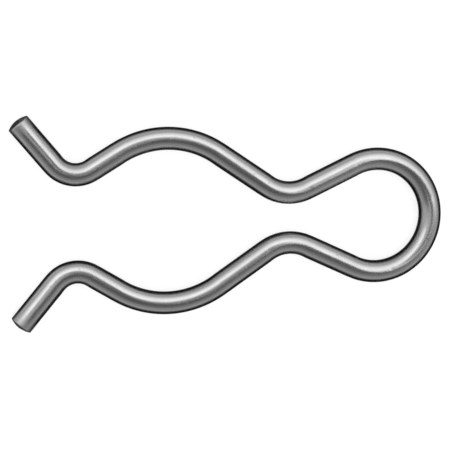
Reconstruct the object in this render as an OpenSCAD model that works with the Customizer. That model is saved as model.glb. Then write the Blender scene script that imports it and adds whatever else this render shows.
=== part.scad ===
// Spring clip for a shaft: one length of round steel wire, bent flat.
//
// The wire runs from one tip, along a waved leg, round the closed loop and
// back along a leg that mirrors the first. The two bulges of the legs form the
// eye that holds the shaft, the throat and the mouth keep the shaft in it, and
// the flared tips let it in.
//
// The clip lies in the XY plane, with the loop towards +X and the tips towards
// -X. The origin is the middle of the eye, on the shaft's axis, at half of the
// wire's thickness. Sizes are in millimetres and angles in degrees.

/* [Wire] */
// Diameter of the round wire
wire_d = 3.2; // [2:0.1:4.2]
// How much thinner the wire is in a bend, where forming has stretched it
bend_thinning = 0.02; // [0.01:0.01:0.06]

/* [Eye] */
// Diameter of the shaft that the eye holds
shaft_d = 19; // [15:0.5:25]
// Play between the shaft and the two legs together
shaft_play = 0.4; // [0:0.1:1.5]
// Radius of the inside of each leg's bulge
eye_inner_r = 11.3; // [8:0.1:16]

/* [Throat] */
// Clear gap where the legs come closest
throat_gap = 3.8; // [1:0.1:8]
// Radius of the inside of the throat bend
throat_inner_r = 4.3; // [2:0.1:8]
// Straight wire between the eye and the throat bend
throat_straight = 8.3; // [2:0.1:16]

/* [Loop] */
// Inner diameter of the round loop that closes the clip
loop_inner_d = 12.7; // [10:0.1:20]
// Straight wire between the throat bend and the loop
loop_straight = 7.5; // [2:0.1:16]

/* [Mouth] */
// Clear gap that the shaft is pushed in through
mouth_gap = 10; // [5:0.1:13]
// Radius of the inside of the mouth bend
mouth_inner_r = 2.3; // [1:0.1:5]
// Straight wire between the eye and the mouth bend
mouth_straight = 4.4; // [1:0.1:10]

/* [Tips] */
// Angle between a flared tip and the clip's long axis
tip_flare = 50; // [20:1:75]
// Straight wire from the mouth bend to the rim of the tip's end
tip_straight = 7.4; // [2:0.1:14]
// Height of the crown that cropping and tumbling leave on the end
tip_crown = 0.4; // [0.1:0.05:0.8]
// Radius of the tumbled edge round the end
tip_edge_r = 0.2; // [0.05:0.05:0.5]

/* [Hidden] */

// Facets of a full turn, and steps of each small arc at a tip
$fn = 96;
TIP_STEPS = 6;

WIRE_R = wire_d / 2;

// Sense in which the wire turns, on its way from the loop to the tip at +Y
LEFT = 1;
RIGHT = -1;

// Heading of the wire at the loop's far end, and along the clip's long axis
ACROSS = 90;
ALONG = 180;

// ---------------------------------------------------------------- centreline
// A turn is [centre, radius, sense], taken on the wire's centreline.

// Distance along X between two turns that bend opposite ways, when a straight
// of the given length joins them and their centres differ by rise along Y
function run(r1, r2, rise, straight) =
    sqrt(pow(r1 + r2, 2) + pow(straight, 2) - pow(rise, 2));

// Where on a turn the wire has the given heading
function on_turn(turn, heading) =
    turn[0] + turn[2] * turn[1] * [sin(heading), -cos(heading)];

// Heading of the straight that leaves one turn and joins the next. It is
// measured from the direction ALONG, so that it never jumps by a full turn.
function heading(turn, next) =
    let (step = next[0] - turn[0])
    ALONG - atan2(step[1], -step[0])
        + asin((turn[2] * turn[1] - next[2] * next[1]) / norm(step));

EYE_R = eye_inner_r + WIRE_R;
THROAT_R = throat_inner_r + WIRE_R;
LOOP_R = loop_inner_d / 2 + WIRE_R;
MOUTH_R = mouth_inner_r + WIRE_R;

// Distances of the turns' centres from the clip's long axis
EYE_Y = (shaft_d + shaft_play) / 2 - eye_inner_r;
THROAT_Y = throat_gap / 2 + wire_d + throat_inner_r;
MOUTH_Y = mouth_gap / 2 + wire_d + mouth_inner_r;

// Distances of the turns' centres from the shaft's axis
THROAT_X = run(EYE_R, THROAT_R, THROAT_Y - EYE_Y, throat_straight);
LOOP_X = THROAT_X + run(THROAT_R, LOOP_R, THROAT_Y, loop_straight);
MOUTH_X = -run(EYE_R, MOUTH_R, MOUTH_Y - EYE_Y, mouth_straight);

LOOP = [[LOOP_X, 0], LOOP_R, LEFT];
THROAT = [[THROAT_X, THROAT_Y], THROAT_R, RIGHT];
EYE = [[0, EYE_Y], EYE_R, LEFT];
MOUTH = [[MOUTH_X, MOUTH_Y], MOUTH_R, RIGHT];

// Headings of the leg's straights, in the order that the wire takes them
TO_THROAT = heading(LOOP, THROAT);
TO_EYE = heading(THROAT, EYE);
TO_MOUTH = heading(EYE, MOUTH);
TO_TIP = ALONG - tip_flare;

// ---------------------------------------------------------------------- wire

// One bend of the wire between two headings, revolved about the turn's centre.
// Each end runs a little way into the straight beside it, for as long as the
// curve still lies inside the straight's slightly thicker wire.
module bend(turn, from, to) {
    radius = turn[1];
    sense = turn[2];
    lap = sqrt(bend_thinning / radius) / 2 * 180 / PI;
    first = (sense == LEFT ? from : to) - sense * 90;
    translate(turn[0])
        rotate(first - lap)
            rotate_extrude(angle = sense * (to - from) + 2 * lap)
                translate([radius, 0])
                    circle(d = wire_d - bend_thinning);
}

// Straight wire between two points of the centreline
module straight(start, end) {
    step = end - start;
    translate(start)
        rotate(atan2(step[1], step[0]))
            rotate([0, 90, 0])
                cylinder(d = wire_d, h = norm(step));
}

// Points of an arc in the tip's half section, which has the wire's axis along Y
function tip_arc(centre, radius, from, to) =
    [for (i = [0:TIP_STEPS])
        let (a = from + (to - from) * i / TIP_STEPS)
        centre + radius * [cos(a), sin(a)]];

// The straight tip, turned about the wire's axis from its half section. The
// crown is part of a ball, and the edge is a small arc that meets it smoothly.
module tip(start, heading) {
    crown_r = (pow(WIRE_R, 2) + pow(tip_crown, 2)) / (2 * tip_crown);
    crown_y = tip_straight + tip_crown - crown_r;
    edge_x = WIRE_R - tip_edge_r;
    edge_y = crown_y + sqrt(pow(crown_r - tip_edge_r, 2) - pow(edge_x, 2));
    meet = atan2(edge_y - crown_y, edge_x);
    translate(start)
        rotate(heading)
            rotate([0, 90, 0])
                rotate_extrude()
                    polygon(concat(
                        [[0, 0], [WIRE_R, 0]],
                        tip_arc([edge_x, edge_y], tip_edge_r, 0, meet),
                        tip_arc([0, crown_y], crown_r, meet, 90)
                    ));
}

// The leg at +Y, from the loop to its tip
module leg() {
    straight(on_turn(LOOP, TO_THROAT), on_turn(THROAT, TO_THROAT));
    bend(THROAT, TO_THROAT, TO_EYE);
    straight(on_turn(THROAT, TO_EYE), on_turn(EYE, TO_EYE));
    bend(EYE, TO_EYE, TO_MOUTH);
    straight(on_turn(EYE, TO_MOUTH), on_turn(MOUTH, TO_MOUTH));
    bend(MOUTH, TO_MOUTH, TO_TIP);
    tip(on_turn(MOUTH, TO_TIP), TO_TIP);
}

// The whole clip, one unbroken piece of wire
module spring_clip() {
    color("silver")
        union() {
            bend(LOOP, 2 * ACROSS - TO_THROAT, TO_THROAT);
            leg();
            mirror([0, 1, 0])
                leg();
        }
}

spring_clip();
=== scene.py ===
"""A hitch pin clip: one length of round spring wire, bent flat and zinc plated.

The clip lies on a pale studio floor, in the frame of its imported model: loop
towards +X, tips towards -X, the middle of the eye at the origin. Sizes are in
metres, as multiples of MM where a maker would give millimetres.
"""
import math

import bpy
import numpy as np
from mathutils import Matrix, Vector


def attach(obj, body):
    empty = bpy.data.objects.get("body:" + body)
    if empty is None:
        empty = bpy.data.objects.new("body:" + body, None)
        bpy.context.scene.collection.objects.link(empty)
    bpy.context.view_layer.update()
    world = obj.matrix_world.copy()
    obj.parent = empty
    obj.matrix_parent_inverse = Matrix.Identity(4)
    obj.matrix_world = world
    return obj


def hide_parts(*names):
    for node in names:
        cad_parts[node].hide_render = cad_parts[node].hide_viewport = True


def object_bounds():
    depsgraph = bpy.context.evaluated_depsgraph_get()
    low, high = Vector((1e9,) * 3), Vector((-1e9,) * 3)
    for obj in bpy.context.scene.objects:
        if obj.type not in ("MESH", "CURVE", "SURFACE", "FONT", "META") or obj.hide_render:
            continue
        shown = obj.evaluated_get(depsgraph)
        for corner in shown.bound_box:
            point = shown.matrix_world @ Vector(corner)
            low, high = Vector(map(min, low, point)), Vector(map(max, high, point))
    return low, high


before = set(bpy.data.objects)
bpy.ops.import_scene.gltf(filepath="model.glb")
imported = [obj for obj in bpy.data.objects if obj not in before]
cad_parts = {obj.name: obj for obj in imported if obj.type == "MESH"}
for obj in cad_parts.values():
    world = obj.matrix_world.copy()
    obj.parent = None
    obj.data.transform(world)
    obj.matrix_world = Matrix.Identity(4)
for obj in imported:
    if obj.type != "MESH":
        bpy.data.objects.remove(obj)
cad_low, cad_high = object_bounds()

# ------------------------------------------------------------------ spring clip
# The whole clip is one piece of drawn spring steel wire. It is cropped to
# length, bent flat round forming pins into a loop and two waved legs, tumbled
# to take the burrs off its ends, and plated with bright zinc in a barrel.

MM = 0.001
WIRE_R = 1.6 * MM

# Clear gaps between the two legs
SHAFT_GAP = 19.4 * MM
THROAT_GAP = 3.8 * MM
MOUTH_GAP = 10 * MM

# Radii of the wire's centreline in the bends
LOOP_R = 6.35 * MM + WIRE_R
THROAT_R = 4.3 * MM + WIRE_R
EYE_R = 11.3 * MM + WIRE_R
MOUTH_R = 2.3 * MM + WIRE_R

# Straight wire after each of those bends. The last one ends at the rim of the
# tip's end, and is 0.04 mm short of its nominal length, because eased bends
# reach a little further.
STRAIGHTS = np.array([7.5, 8.3, 4.4, 7.36]) * MM
TIP_FLARE = math.radians(50)     # from the clip's long axis

EDGE_R = 0.2 * MM                # tumbled edge round a tip's end
EDGE_TURN = EDGE_R * 0.8         # length over which the wire's side turns into its end
CROWN = 0.4 * MM                 # height of the crown on that end
BEND_THINNING = 0.01 * MM        # taken off the wire's radius where forming stretches it
SPRING_BACK = 0.8 * MM           # length over which a bend eases into a straight
PIN_MARK = 0.025 * MM            # depth of the flat that a forming pin leaves
PIN_BAND = 0.12                  # how far in from the wire's side that flat reaches, in radii
DENTS = 60
DENT = 0.012 * MM                # depth of the deepest dent from the barrel
TEAR = 0.03 * MM                 # drop from a tip's sheared half to its torn half
TEAR_GRAIN = 0.8                 # unevenness of the torn half, as a share of that drop
TEAR_FROM = 0.15 * MM            # the blade stops this far past the middle of the end
TEAR_STEP = 0.25 * MM            # width of the slope between the two halves
TEAR_WAVES = 30
SCUFFED = 1.9 * MM               # length at each tip that the barrel has dulled

RINGS = 900
AROUND = 96
EDGE_RINGS = 7
CROWN_RINGS = 20
EASE_SAMPLES = 9


def centres_apart(radius_a, radius_b, rise, straight):
    """Distance along X between the centres of two bends that turn opposite ways and
    are joined by a straight: the root of (sum of radii) squared + straight squared
    - rise squared."""
    return math.sqrt((radius_a + radius_b) ** 2 + straight ** 2 - rise ** 2)


def bend_angles(centres, signed_radii):
    """Angle of every bend of the leg, from the loop's far end to the tip. A straight's
    heading is that of the line through its two bends' centres, turned by the arc sine
    of their signed radii's difference over the centres' distance. A bend's angle is the
    change of heading between its two straights."""
    step = np.diff(centres, axis=0)
    lean = np.arcsin((signed_radii[:-1] - signed_radii[1:]) / np.hypot(*step.T))
    headings = math.pi - np.arctan2(step[:, 1], -step[:, 0]) + lean
    headings = np.concatenate(([math.pi / 2], headings, [math.pi - TIP_FLARE]))
    return np.abs(np.diff(headings))


eye_y = SHAFT_GAP / 2 - EYE_R + WIRE_R
throat_y = THROAT_GAP / 2 + WIRE_R + THROAT_R
mouth_y = MOUTH_GAP / 2 + WIRE_R + MOUTH_R
throat_x = centres_apart(EYE_R, THROAT_R, throat_y - eye_y, STRAIGHTS[1])
loop_x = throat_x + centres_apart(THROAT_R, LOOP_R, throat_y, STRAIGHTS[0])
mouth_x = -centres_apart(EYE_R, MOUTH_R, mouth_y - eye_y, STRAIGHTS[2])

bend_centres = np.array([[loop_x, 0], [throat_x, throat_y], [0, eye_y], [mouth_x, mouth_y]])
bend_radii = np.array([LOOP_R, -THROAT_R, EYE_R, -MOUTH_R])     # a left turn is positive
bends = bend_angles(bend_centres, bend_radii)

# Lengths and curvatures of the leg's bends and straights, one after the other
leg_lengths = np.column_stack((bends * np.abs(bend_radii), STRAIGHTS)).ravel()
leg_curvatures = np.column_stack((1 / bend_radii, np.zeros_like(bend_radii))).ravel()
leg_joints = np.concatenate(([0], np.cumsum(leg_lengths)))
leg_turned = np.concatenate(([0], np.cumsum(leg_lengths * leg_curvatures)))


def heading(along):
    """Heading of the wire at a distance along it from the loop's far end, where it points
    to +Y. It grows by curvature times length, and on the other leg it falls by as much.
    Its mean over the spring-back length lets every bend ease into the straights."""
    places = along[..., None] + np.linspace(-0.5, 0.5, EASE_SAMPLES) * SPRING_BACK
    turned = np.sign(places) * np.interp(np.abs(places), leg_joints, leg_turned)
    return math.pi / 2 + np.mean(turned, axis=-1)


def centreline(along):
    """Points and headings of the wire's centreline. Each step is the chord of its own
    small arc: the step's length times sin(half its turn) / (half its turn), along the
    heading at its middle."""
    angle = heading(along)
    chord = np.diff(along) * np.sinc(np.diff(angle) / (2 * math.pi))
    middle = heading((along[1:] + along[:-1]) / 2)
    steps = np.column_stack((np.cos(middle), np.sin(middle))) * chord[:, None]
    points = np.concatenate((np.zeros((1, 2)), np.cumsum(steps, axis=0)))
    start = [np.interp(0, along, points[:, axis]) for axis in (0, 1)]
    return points - start + [loop_x + LOOP_R, 0], angle


def end_profile():
    """Distance past the rim and radius of the rings that close a tip, as a small arc
    round the edge and then a piece of a ball, which the edge meets smoothly. The ball's
    radius is (the wire's radius squared + crown squared) / (2 crown)."""
    ball_r = (WIRE_R ** 2 + CROWN ** 2) / (2 * CROWN)
    ball_at = CROWN - ball_r
    edge_at = ball_at + math.sqrt((ball_r - EDGE_R) ** 2 - (WIRE_R - EDGE_R) ** 2)
    meet = math.atan2(edge_at - ball_at, WIRE_R - EDGE_R)
    edge = np.linspace(0, meet, EDGE_RINGS)
    ball = np.linspace(meet, math.pi / 2, CROWN_RINGS)[1:]
    past = np.concatenate((edge_at + EDGE_R * np.sin(edge), ball_at + ball_r * np.sin(ball)))
    radius = np.concatenate((WIRE_R - EDGE_R * (1 - np.cos(edge)), ball_r * np.cos(ball)))
    return past, radius


past_rim, end_radius = end_profile()
rim = leg_joints[-1]
body = np.linspace(-1, 1, RINGS)[1:-1] * (rim + past_rim[0])
along = np.concatenate((-(rim + past_rim)[::-1], body, rim + past_rim))
ring_radius = np.concatenate((end_radius[::-1], np.full(len(body), WIRE_R), end_radius))
path, angle = centreline(along)

# Curvature at each ring, and how far round the wire each point lies. Round the
# wire, 0 is its left side in the bends' plane and a quarter turn further is up.
curvature = np.gradient(angle, along)
round_wire = np.linspace(-0.5, 1.5, AROUND, endpoint=False) * math.pi
across, up = np.cos(round_wire), np.sin(round_wire)

# A point's share of the tightest bend's inner side: 0 on straights and outer
# sides. The forming pin presses a narrow band along the middle of that side.
inside = np.clip(curvature[:, None] * across * MOUTH_R, 0, 1)
pressed = np.clip(1 - ((1 - np.abs(across)) / PIN_BAND) ** 2, 0, 1) * inside ** 0.5

# Every bend is at least as tight as the eye, and is thinned by the whole amount
thinned = BEND_THINNING * np.clip(np.abs(curvature) * EYE_R, 0, 1)


def barrel_dents(count):
    """Depth of shallow dents where clips have knocked together: each is DENT times a
    random share, times a bell curve of the distance from its middle, measured along the
    wire and round it. Dents keep off the line underneath where round_wire begins."""
    chance = np.random.default_rng(seed=31)
    at = chance.uniform(-rim, rim, count)
    turn = chance.uniform(-0.4, 1.4, count) * math.pi
    width = chance.uniform(0.22, 0.6, count) * MM
    share = chance.uniform(0.25, 1.0, count)
    away = (along[:, None, None] - at) ** 2 + (WIRE_R * (round_wire[:, None] - turn)) ** 2
    return DENT * np.sum(share * np.exp(-away / width ** 2), axis=2)


knocked = barrel_dents(DENTS) * (np.abs(along) < rim)[:, None]
radius = (ring_radius - thinned * ring_radius / WIRE_R)[:, None] - PIN_MARK * pressed - knocked

left = np.column_stack((-np.sin(angle), np.cos(angle)))
points = np.empty((len(along), AROUND, 3))
points[:, :, :2] = path[:, None] + left[:, None] * (radius * across)[:, :, None]
points[:, :, 2] = radius * up


def torn_grain(x, y):
    """Uneven height of the torn half of a cropped end, from -1 to 1: the mean of plane
    waves with random directions and phases, and lengths from 0.25 to 0.9 mm."""
    chance = np.random.default_rng(seed=5)
    turn = chance.uniform(0, 2 * math.pi, TEAR_WAVES)
    length = chance.uniform(0.25, 0.9, TEAR_WAVES) * MM
    phase = chance.uniform(0, 2 * math.pi, TEAR_WAVES)
    travel = x[..., None] * np.cos(turn) + y[..., None] * np.sin(turn)
    return np.sin(2 * math.pi / length * travel + phase).mean(axis=-1)


# The blade shears a little more than half of a cropped end, and the rest tears
on_end = np.clip((np.abs(along) - rim - past_rim[0]) / EDGE_TURN, 0, 1)
torn = np.clip(0.5 - (radius * across + TEAR_FROM) / TEAR_STEP, 0, 1) * on_end[:, None]
sunk = TEAR * torn * (1 + TEAR_GRAIN * torn_grain(radius * across, radius * up))
inward = -np.sign(along)[:, None] * np.column_stack((np.cos(angle), np.sin(angle)))
points[:, :, :2] += inward[:, None] * sunk[:, :, None]


def ring_faces(rings, around):
    """Quads between neighbouring rings, and a fan of triangles from each end ring to that
    end's pole. The two poles are the last vertices."""
    ring, place = np.meshgrid(np.arange(rings - 1), np.arange(around), indexing="ij")
    beside = (place + 1) % around
    here, there = ring * around, (ring + 1) * around
    quads = (here + place, here + beside, there + beside, there + place)
    quads = np.stack(quads, axis=-1).reshape(-1, 4)
    place = np.arange(around)
    beside = (place + 1) % around
    last = (rings - 1) * around
    poles = rings * around + np.array([0, 1])
    first_fan = np.column_stack((beside, place, np.full(around, poles[0])))
    last_fan = np.column_stack((last + place, last + beside, np.full(around, poles[1])))
    return quads, np.concatenate((first_fan, last_fan))


# The outermost ring of each end has shrunk to a point, so one pole stands for it
rings = len(along) - 2
poles = points[[0, -1], 0]
vertices = np.concatenate((points[1:-1].reshape(-1, 3), poles))
quads, fans = ring_faces(rings, AROUND)

clip_mesh = bpy.data.meshes.new("spring_clip_wire")
clip_mesh.from_pydata(vertices.tolist(), [], quads.tolist() + fans.tolist())
clip_mesh.shade_smooth()

# The wire as it was before it was bent: across, up and along, for patterns that
# follow the drawing of the wire and meet all the way round
straight = np.empty((len(along), AROUND, 3))
straight[:, :, 0] = radius * across
straight[:, :, 1] = radius * up
straight[:, :, 2] = along[:, None]
straight = np.concatenate((straight[1:-1].reshape(-1, 3), straight[[0, -1], 0]))
layer = clip_mesh.attributes.new("straight_wire", "FLOAT_VECTOR", "POINT")
layer.data.foreach_set("vector", straight.astype(np.float32).ravel())


def point_value(name, values):
    """Gives the wire's mesh one number for each of its vertices, poles last."""
    values = np.broadcast_to(values, (len(along), AROUND))
    values = np.concatenate((values[1:-1].ravel(), values[[0, -1], 0]))
    layer = clip_mesh.attributes.new(name, "FLOAT", "POINT")
    layer.data.foreach_set("value", values.astype(np.float32))


point_value("bend_inside", inside)
point_value("pin_mark", pressed)
point_value("cropped_end", on_end[:, None])
point_value("torn_end", torn)
point_value("near_end", np.clip((np.abs(along)[:, None] - rim) / SCUFFED + 1, 0, 1))

STRIPS = 4
STRIP_GAP = 0.6 * MM


def strip_map(mesh):
    """Lays the wire's skin flat as STRIPS strips side by side on a square, with one scale
    for length and girth. A corner's place in its strip is its distance along the
    profile, and its distance round the wire from the underside. A face stays whole, in
    the strip where its first corner lies."""
    travelled = np.cumsum(np.hypot(np.diff(along), np.diff(ring_radius)))
    travelled = np.concatenate(([0], travelled))
    strip_length = travelled[-1] / STRIPS
    pitch = 2 * math.pi * WIRE_R + STRIP_GAP
    square = STRIPS * pitch
    ring, place = np.meshgrid(np.arange(rings - 1), np.arange(AROUND), indexing="ij")
    quad_rings = (ring.reshape(-1, 1) + 1 + [0, 0, 1, 1]).ravel()
    quad_places = (place.reshape(-1, 1) + [0, 1, 1, 0]).ravel()
    fan_rings = np.tile([1, 1, 0], AROUND), np.tile([rings, rings, rings + 1], AROUND)
    turn = np.arange(AROUND)[:, None]
    fan_places = (turn + [1, 0, 0.5]).ravel(), (turn + [0, 1, 0.5]).ravel()
    ring = np.concatenate((quad_rings, *fan_rings))
    place = np.concatenate((quad_places, *fan_places))
    corners = np.repeat([4, 3], [(rings - 1) * AROUND, 2 * AROUND])
    first_corner = np.repeat(np.concatenate(([0], np.cumsum(corners)[:-1])), corners)
    strip = travelled[np.minimum(ring[first_corner], rings)] // strip_length
    strip = np.minimum(strip, STRIPS - 1)
    u = travelled[ring] - strip * strip_length + STRIP_GAP / 2
    v = strip * pitch + STRIP_GAP / 2 + place / AROUND * 2 * math.pi * WIRE_R
    layer = mesh.uv_layers.new(name="OFBake")
    layer.data.foreach_set("uv", np.column_stack((u, v)).astype(np.float32).ravel() / square)


strip_map(clip_mesh)


class Finish:
    """The shader nodes of a material or of the studio's surroundings, added and joined
    by short calls."""

    def __init__(self, owner):
        owner.use_nodes = True
        self.tree = owner.node_tree

    def node(self, kind, inputs=None, **settings):
        """Adds a node, sets its properties, and gives each input a value or a link."""
        made = self.tree.nodes.new("ShaderNode" + kind)
        for name, value in settings.items():
            setattr(made, name, value)
        self.fill(made, inputs or {})
        return made

    def fill(self, node, inputs):
        """Links each input to another node's output, or stores a plain value in it."""
        for name, value in inputs.items():
            if isinstance(value, bpy.types.NodeSocket):
                self.tree.links.new(value, node.inputs[name])
            else:
                node.inputs[name].default_value = value

    def surface(self, **inputs):
        """Sets the material's own shader, whose inputs are named with _ for a space."""
        shader = self.tree.nodes["Principled BSDF"]
        self.fill(shader, {name.replace("_", " "): value for name, value in inputs.items()})

    def noise(self, place, scale, detail=2.0, roughness=0.5):
        """Smooth noise from 0 to 1 at places multiplied by scale, a number for each axis."""
        stretched = self.node("Mapping", {"Vector": place, "Scale": scale}).outputs[0]
        inputs = {"Vector": stretched, "Scale": 1.0, "Detail": detail, "Roughness": roughness}
        return self.node("TexNoise", inputs).outputs["Fac"]

    def between(self, value, low, high, to_low=0.0, to_high=1.0):
        """Takes value from the range low to high to another, and holds it at its ends."""
        inputs = {"Value": value, "From Min": low, "From Max": high}
        inputs.update({"To Min": to_low, "To Max": to_high})
        return self.node("MapRange", inputs).outputs["Result"]

    def spread(self, noise, to_low, to_high):
        """Takes noise, most of which lies between 0.3 and 0.7, to another range."""
        return self.between(noise, 0.3, 0.7, to_low, to_high)

    def maths(self, operation, *values):
        """Joins two or more values by one operation, from left to right."""
        result = values[0]
        for value in values[1:]:
            result = self.node("Math", {0: result, 1: value}, operation=operation).outputs[0]
        return result


def zinc_plate():
    """Bright zinc over drawn wire. Die lines run along the wire, the plating is a little
    cloudy, and the barrel has left hair scratches and nicks. Zinc is duller inside tight
    bends and near the tips, and burnished where the pins pressed it. The cropped ends
    are ruled on their sheared half and grainy on their torn half."""
    plating = bpy.data.materials.new("zinc_plated_wire")
    zinc = Finish(plating)
    place = zinc.node("Attribute", attribute_name="straight_wire").outputs["Vector"]
    inside = zinc.node("Attribute", attribute_name="bend_inside").outputs["Fac"]
    pressed = zinc.node("Attribute", attribute_name="pin_mark").outputs["Fac"]
    end = zinc.node("Attribute", attribute_name="cropped_end").outputs["Fac"]
    torn = zinc.node("Attribute", attribute_name="torn_end").outputs["Fac"]
    side = zinc.maths("SUBTRACT", 1.0, end)
    scuffed = zinc.node("Attribute", attribute_name="near_end").outputs["Fac"]

    die_lines = zinc.noise(place, (11000, 11000, 60), detail=1.0)
    streaks = zinc.noise(place, (2500, 2500, 40), detail=1.0)
    cloud = zinc.noise(place, (450, 450, 300), detail=4.0, roughness=0.6)
    grain = zinc.noise(place, (8000, 8000, 8000), detail=1.0)
    ruled = zinc.noise(place, (900, 14000, 900), detail=1.0)
    crystals = zinc.noise(place, (9000, 9000, 9000), detail=3.0, roughness=0.7)

    # Hair scratches follow the middle value of a noise, where another one is high
    hair = zinc.noise(place, (1500, 1500, 350), detail=1.0)
    hair = zinc.maths("ABSOLUTE", zinc.maths("SUBTRACT", hair, 0.5), 0.0)
    hair = zinc.between(hair, 0.0, 0.006, 1.0, 0.0)
    worn = zinc.between(zinc.noise(place, (260, 260, 120)), 0.52, 0.62)
    hair = zinc.maths("MULTIPLY", hair, worn, side)

    # Nicks lie round scattered points that come close to the skin
    scattered = zinc.node("TexVoronoi", {"Vector": place, "Scale": 650.0}).outputs["Distance"]
    nick = zinc.maths("MULTIPLY", zinc.between(scattered, 0.05, 0.12, 1.0, 0.0), side)

    # The cloudy plating sets the tone and the roughness, and each mark changes them
    tone = zinc.maths(
        "MULTIPLY",
        zinc.spread(cloud, 0.585, 0.645),
        zinc.spread(die_lines, 0.98, 1.02),
        zinc.spread(streaks, 0.985, 1.015),
        zinc.spread(grain, 0.995, 1.005),
        zinc.between(inside, 0.1, 1.0, 1.0, 0.9),
        zinc.between(pressed, 0.2, 1.0, 1.0, 1.06),
        zinc.between(hair, 0.0, 1.0, 1.0, 1.12),
        zinc.between(nick, 0.0, 1.0, 1.0, 0.8),
        zinc.between(end, 0.0, 1.0, 1.0, 0.92),
        zinc.between(torn, 0.0, 1.0, 1.0, 0.85),
    )
    rough = zinc.maths(
        "ADD",
        zinc.spread(cloud, 0.28, 0.24),
        zinc.spread(die_lines, 0.006, -0.006),
        zinc.spread(grain, -0.006, 0.006),
        zinc.between(inside, 0.1, 1.0, 0.0, 0.06),
        zinc.between(pressed, 0.2, 1.0, 0.0, -0.07),
        zinc.between(nick, 0.0, 1.0, 0.0, 0.12),
        zinc.between(end, 0.0, 1.0, 0.0, -0.1),
        zinc.between(scuffed, 0.0, 1.0, 0.0, 0.2),
        zinc.between(torn, 0.0, 1.0, 0.0, 0.1),
    )

    # Heights of the relief, in thousandths of a millimetre
    height = zinc.maths(
        "ADD",
        zinc.maths("MULTIPLY", die_lines, side, 0.07),
        zinc.maths("MULTIPLY", streaks, side, 0.15),
        zinc.maths("MULTIPLY", grain, 0.015),
        zinc.maths("MULTIPLY", hair, -0.6),
        zinc.maths("MULTIPLY", nick, -4.0),
        zinc.maths("MULTIPLY", ruled, zinc.maths("SUBTRACT", end, torn), 6.0),
        zinc.maths("MULTIPLY", crystals, torn, 22.0),
    )
    relief = zinc.node("Bump", {"Height": height, "Strength": 1.0, "Distance": 0.001 * MM})
    colour = zinc.node("CombineColor", {"Red": tone, "Green": tone, "Blue": tone}).outputs[0]

    # The plating's thin oxide dims what it mirrors along the wire's edges
    zinc.surface(
        Base_Color=colour,
        Metallic=1.0,
        Roughness=rough,
        Specular_Tint=(0.25, 0.25, 0.25, 1),
        Normal=relief.outputs[0],
    )
    return plating


spring_clip = bpy.data.objects.new("spring_clip_wire", clip_mesh)
bpy.context.scene.collection.objects.link(spring_clip)
clip_mesh.materials.append(zinc_plate())
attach(spring_clip, "root")
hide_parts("spring_clip")

# ------------------------------------------------------------------------ floor
# A pale matt floor that rises into a wall far from the clip, so that low views
# have one even background. It glows a little, so that shadows on it stay faint,
# and the wire doesn't mirror it.

FLOOR_R = 1.2
COVE_R = 0.4
WALL_TOP = 1.0

FLAT_RINGS = 0.001, 0.1          # radii of the two rings on the flat, round its middle
COVE_RINGS = 24
FLOOR_AROUND = 128


def swept_floor():
    """Surface of revolution round the Z axis: flat out to FLOOR_R, then a quarter circle
    of COVE_R up, then a straight wall. It touches the underside of the wire, and the
    first fan of faces closes its middle."""
    turn = np.linspace(0, math.pi / 2, COVE_RINGS)
    reach = np.concatenate((FLAT_RINGS, FLOOR_R + COVE_R * np.sin(turn), [FLOOR_R + COVE_R]))
    flat = np.zeros(len(FLAT_RINGS))
    height = np.concatenate((flat, COVE_R * (1 - np.cos(turn)), [WALL_TOP]))
    angle = np.linspace(0, 2 * math.pi, FLOOR_AROUND, endpoint=False)
    points = np.empty((len(reach), len(angle), 3))
    points[:, :, 0] = reach[:, None] * np.cos(angle)
    points[:, :, 1] = reach[:, None] * np.sin(angle)
    points[:, :, 2] = height[:, None] + cad_low.z
    vertices = np.concatenate((points.reshape(-1, 3), [[0, 0, cad_low.z]]))
    quads, fans = ring_faces(len(reach), len(angle))
    mesh = bpy.data.meshes.new("studio_floor")
    mesh.from_pydata(vertices.tolist(), [], quads.tolist() + fans[:len(angle)].tolist())
    mesh.shade_smooth()
    return mesh


floor = bpy.data.objects.new("studio_floor", swept_floor())
bpy.context.scene.collection.objects.link(floor)
paper = bpy.data.materials.new("white_paper")
Finish(paper).surface(
    Base_Color=(0.32, 0.32, 0.32, 1),
    Roughness=0.9,
    Emission_Color=(1, 1, 1, 1),
    Emission_Strength=0.8,
)
floor.data.materials.append(paper)
floor.visible_glossy = False
floor.visible_diffuse = False

# ----------------------------------------------------------------- studio light
# A cloth light bank arches over the clip from +Y, and a grey card from -Y lies
# beside it, so that wire of any direction carries one bright band with a dark
# one next to it. A wide panel whitens the floor, out of the metal's sight.

LIGHT_R = 0.6
CARD_R = LIGHT_R * 1.05
PANEL_HEIGHT = 1.1
UPRIGHT = (-0.239, 0.1, 0.966)   # unit vector from the clip, close to the camera's line

BAND_RINGS = 25
BAND_STEPS = 73

scene = bpy.context.scene
scene.view_settings.view_transform = "Standard"
scene.world = bpy.data.worlds.new("studio")

# The studio is grey above and black below, apart from the white that a pale floor
# throws straight up. Its height is measured along UPRIGHT.
studio = Finish(scene.world)
direction = studio.node("TexCoord").outputs["Generated"]
height = studio.node("VectorMath", {0: direction, 1: UPRIGHT}, operation="DOT_PRODUCT")
above = studio.between(height.outputs["Value"], -0.2, 0.04, 0.0, 0.56)
below = studio.between(height.outputs["Value"], -0.82, -0.96, 0.0, 1.0)
glow = {"Color": (1, 1, 1, 1), "Strength": studio.maths("ADD", above, below)}
studio.fill(studio.tree.nodes["Background"], glow)


def stand_over(thing, lean_x, lean_y, distance, aim=(0, 0, 0)):
    """Puts a lamp, an arch or the camera at a distance from the aim point, leaning from
    overhead by these angles in degrees towards +X and +Y, with its own Z axis pointing
    away from that point."""
    thing.rotation_euler = (-math.radians(lean_y), math.radians(lean_x), 0)
    away = thing.rotation_euler.to_matrix().col[2]
    thing.location = [start + distance * way for start, way in zip(aim, away)]


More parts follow.
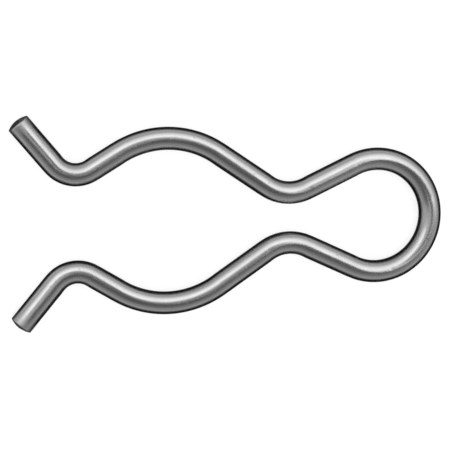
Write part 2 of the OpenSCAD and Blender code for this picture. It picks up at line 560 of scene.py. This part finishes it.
def arched_band(name, tilt, half_width, middle, half_span, distance, levels):
    """Glowing part of a ring on a ball round the clip, in a frame whose Z axis points out
    through the ring's centre. A point is tilted from Z by the ring's angle plus its
    place across the band, then turned round Z by its place along the band. All angles
    are in degrees. Its light is given at places across, from -1 inside to 1 outside,
    and runs evenly between them."""
    places = np.linspace(-1, 1, BAND_RINGS), np.linspace(-1, 1, BAND_STEPS)
    across, along = np.meshgrid(*places, indexing="ij")
    tilt = np.radians(tilt + half_width * across)
    turn = np.radians(middle + half_span * along)
    ways = (np.sin(tilt) * np.cos(turn), np.sin(tilt) * np.sin(turn), np.cos(tilt))
    points = distance * np.stack(ways, axis=-1).reshape(-1, 3)
    corner = np.arange(BAND_RINGS - 1)[:, None] * BAND_STEPS + np.arange(BAND_STEPS - 1)
    faces = corner.reshape(-1, 1) + [0, 1, BAND_STEPS + 1, BAND_STEPS]
    mesh = bpy.data.meshes.new(name)
    mesh.from_pydata(points.tolist(), [], faces.tolist())
    glow = np.interp(across.ravel(), *zip(*levels)).astype(np.float32)
    mesh.attributes.new("glow", "FLOAT", "POINT").data.foreach_set("value", glow)
    material = bpy.data.materials.new(name)
    cloth = Finish(material)
    cloth.surface(
        Base_Color=(0, 0, 0, 1),
        Specular_IOR_Level=0.0,
        Emission_Color=(1, 1, 1, 1),
        Emission_Strength=cloth.node("Attribute", attribute_name="glow").outputs["Fac"],
    )
    mesh.materials.append(material)
    band = bpy.data.objects.new(name, mesh)
    scene.collection.objects.link(band)
    band.visible_camera = False
    band.visible_diffuse = False
    band.visible_shadow = False
    return band


light_bank = arched_band(
    "light_bank",
    tilt=47,
    half_width=26.4,
    middle=78,
    half_span=86,
    distance=LIGHT_R,
    levels=[(-1, 0.42), (-0.78, 1.78), (-0.25, 1.3), (0.35, 0.92), (1, 0.23)],
)
stand_over(light_bank, -5.3, 0.8, distance=0)

grey_card = arched_band(
    "grey_card",
    tilt=42.4,
    half_width=30.4,
    middle=-46.5,
    half_span=111,
    distance=CARD_R,
    levels=[(-1, 0.07), (-0.5, 0.06), (0.2, 0.28), (1, 0.42)],
)
stand_over(grey_card, -8.5, -5.2, distance=0)

light = bpy.data.lights.new("overhead_panel", "AREA")
light.shape = "SQUARE"
light.size = 1.6
light.energy = 6
overhead = bpy.data.objects.new("overhead_panel", light)
scene.collection.objects.link(overhead)
stand_over(overhead, 0, 0, PANEL_HEIGHT)
overhead.visible_camera = False
overhead.visible_glossy = False

# ----------------------------------------------------------------------- camera
# A long lens looks down on the clip, leaning a little towards its tips and +Y. It
# is aimed close to the middle of the clip, so that the whole of it is in view.

CAMERA_LEAN = -13.51, 6.93
CAMERA_DISTANCE = 229.1 * MM
CAMERA_AIM = (8.105 * MM, -0.78 * MM, 0)

camera = bpy.data.objects.new("camera", bpy.data.cameras.new("camera"))
scene.collection.objects.link(camera)
scene.camera = camera
camera.data.lens = 133
camera.data.clip_start = 0.01
camera.data.clip_end = 10
stand_over(camera, *CAMERA_LEAN, CAMERA_DISTANCE, aim=CAMERA_AIM)
